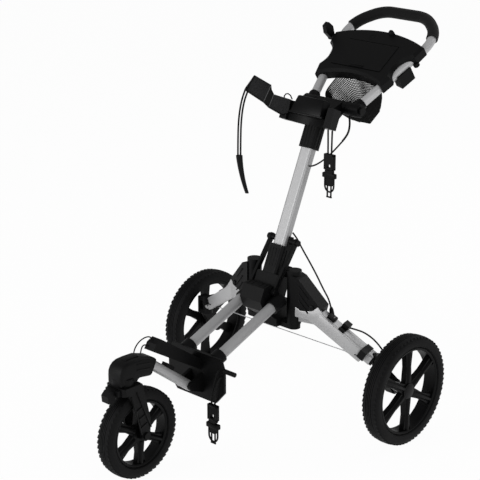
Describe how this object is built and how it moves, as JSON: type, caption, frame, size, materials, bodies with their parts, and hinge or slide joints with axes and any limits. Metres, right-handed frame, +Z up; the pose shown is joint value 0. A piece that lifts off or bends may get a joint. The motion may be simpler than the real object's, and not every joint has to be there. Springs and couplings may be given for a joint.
{
  "type": "golf push cart",
  "caption": "Folding three-wheel golf push cart with a leaning mast, bag cradle, swivelling front wheel, folding rear legs and a bowed handle with a console.",
  "frame": {"origin": "on the ground, under the middle of the cart's box", "axes": "+X across to the cart's right as seen in the stored front view, +Y to the rear, +Z up"},
  "size_m": [0.754, 1.142, 1.0211],
  "materials": {
    "silver": "satin anodised",
    "black_plastic": "fine moulded grain",
    "tyre": "matte rubber",
    "foam": "closed-cell foam",
    "steel": "plated",
    "webbing": "woven webbing",
    "net": "open knitted net",
    "cord": "braided elastic",
    "cable": "smooth sheath"
  },
  "bodies": {
    "chassis": {"hub": "black_plastic", "frame_pins": "steel", "rails": "silver", "lower_bracket": "black_plastic", "cradle_plate": "black_plastic", "latch_block": "black_plastic", "latch_cords": "cord", "lower_cord": "cord", "lower_hook": "black_plastic", "cross_cable": "steel"},
    "mast": {"mast_tube": "silver", "mast_foot": "black_plastic", "mast_braces": "black_plastic", "brace_bolts": "steel", "bracket_head": "black_plastic", "bag_saddle": "black_plastic", "handle_pin": "steel", "strap": "webbing", "strap_cord": "cord", "strap_pull": "black_plastic", "hook_cord": "cord", "hook_buckle": "black_plastic", "brake_cable": "cable"},
    "handle": {"handle_tube": "silver", "handle_knuckles": "black_plastic", "grip": "foam", "console": "black_plastic", "accessory_socket": "black_plastic", "net_pouch": "net", "net_ring": "cord", "handle_cable": "cable"},
    "flap": {"card_flap": "black_plastic"},
    "lever": {"brake_lever": "black_plastic"},
    "front_arm": {"arm_tube": "silver", "arm_catch": "black_plastic", "elbow": "black_plastic"},
    "front_fork": {"fork": "black_plastic", "front_axle": "steel"},
    "swivel_lock": {"fork_lock": "black_plastic"},
    "front_wheel": {"front_tyre": "tyre", "front_rim": "black_plastic"},
    "left_rear_leg": {"left_leg": "silver", "left_leg_casing": "black_plastic", "left_leg_fittings": "black_plastic"},
    "left_rear_knuckle": {"left_knuckle": "black_plastic", "left_knuckle_pin": "steel", "left_axle": "steel"},
    "left_rear_wheel": {"left_tyre": "tyre", "left_rim": "black_plastic", "left_hub_cap": "black_plastic"},
    "right_rear_leg": {"right_leg": "silver", "right_leg_casing": "black_plastic", "right_leg_fittings": "black_plastic", "wheel_cable": "cable"},
    "right_rear_knuckle": {"right_knuckle": "black_plastic", "right_knuckle_pin": "steel", "right_axle": "steel"},
    "right_rear_wheel": {"right_tyre": "tyre", "right_rim": "black_plastic", "right_hub_cap": "black_plastic"}
  },
  "joints": [
    {"name": "mast_fold", "type": "hinge", "parent": "chassis", "child": "mast", "pos_m": [0, -0.01, 0.369], "axis": [1, 0, 0], "range_deg": [0, 105], "deforming": ["cross_cable", "brake_cable"]},
    {"name": "handle_fold", "type": "hinge", "parent": "mast", "child": "handle", "pos_m": [0, 0.25992, 0.80604], "axis": [-1, 0, 0], "range_deg": [0, 147], "deforming": ["net_pouch", "net_ring", "handle_cable"]},
    {"name": "flap_hinge", "type": "hinge", "parent": "handle", "child": "flap", "pos_m": [0, 0.4242, 0.94339], "axis": [-1, 0, 0], "range_deg": [0, 95]},
    {"name": "brake_lever_turn", "type": "hinge", "parent": "handle", "child": "lever", "pos_m": [-0.164, 0.44281, 0.93905], "axis": [-1, 0, 0], "range_deg": [0, 35]},
    {"name": "front_arm_fold", "type": "hinge", "parent": "chassis", "child": "front_arm", "pos_m": [0, -0.286, 0.189], "axis": [1, 0, 0], "range_deg": [0, 140]},
    {"name": "front_swivel", "type": "hinge", "parent": "front_arm", "child": "front_fork", "pos_m": [0, -0.498, 0.258], "axis": [0, 0, 1], "continuous": true},
    {"name": "swivel_lock_turn", "type": "hinge", "parent": "front_fork", "child": "swivel_lock", "pos_m": [0, -0.529, 0.2477], "axis": [1, 0, 0], "range_deg": [0, 30]},
    {"name": "front_wheel_spin", "type": "hinge", "parent": "front_fork", "child": "front_wheel", "pos_m": [0, -0.455, 0.116], "axis": [1, 0, 0], "continuous": true},
    {"name": "left_leg_fold", "type": "hinge", "parent": "chassis", "child": "left_rear_leg", "pos_m": [-0.07, 0.037, 0.362], "axis": [0, 0, 1], "range_deg": [0, 54]},
    {"name": "left_knuckle_turn", "type": "hinge", "parent": "left_rear_leg", "child": "left_rear_knuckle", "pos_m": [-0.304, 0.097, 0.215], "axis": [0, 0, -1], "range_deg": [0, 54]},
    {"name": "left_wheel_spin", "type": "hinge", "parent": "left_rear_knuckle", "child": "left_rear_wheel", "pos_m": [-0.353, 0.142, 0.145], "axis": [1, 0, 0], "continuous": true},
    {"name": "right_leg_fold", "type": "hinge", "parent": "chassis", "child": "right_rear_leg", "pos_m": [0.07, 0.037, 0.362], "axis": [0, 0, -1], "range_deg": [0, 54]},
    {"name": "right_knuckle_turn", "type": "hinge", "parent": "right_rear_leg", "child": "right_rear_knuckle", "pos_m": [0.304, 0.097, 0.215], "axis": [0, 0, 1], "range_deg": [0, 54], "deforming": ["wheel_cable"]},
    {"name": "right_wheel_spin", "type": "hinge", "parent": "right_rear_knuckle", "child": "right_rear_wheel", "pos_m": [0.353, 0.142, 0.145], "axis": [1, 0, 0], "continuous": true}
  ],
  "couplings": [
    {"joint": "left_leg_fold", "follows": "mast_fold", "ratio": 0.51429},
    {"joint": "left_knuckle_turn", "follows": "mast_fold", "ratio": 0.51429},
    {"joint": "right_leg_fold", "follows": "mast_fold", "ratio": 0.51429},
    {"joint": "right_knuckle_turn", "follows": "mast_fold", "ratio": 0.51429}
  ]
}
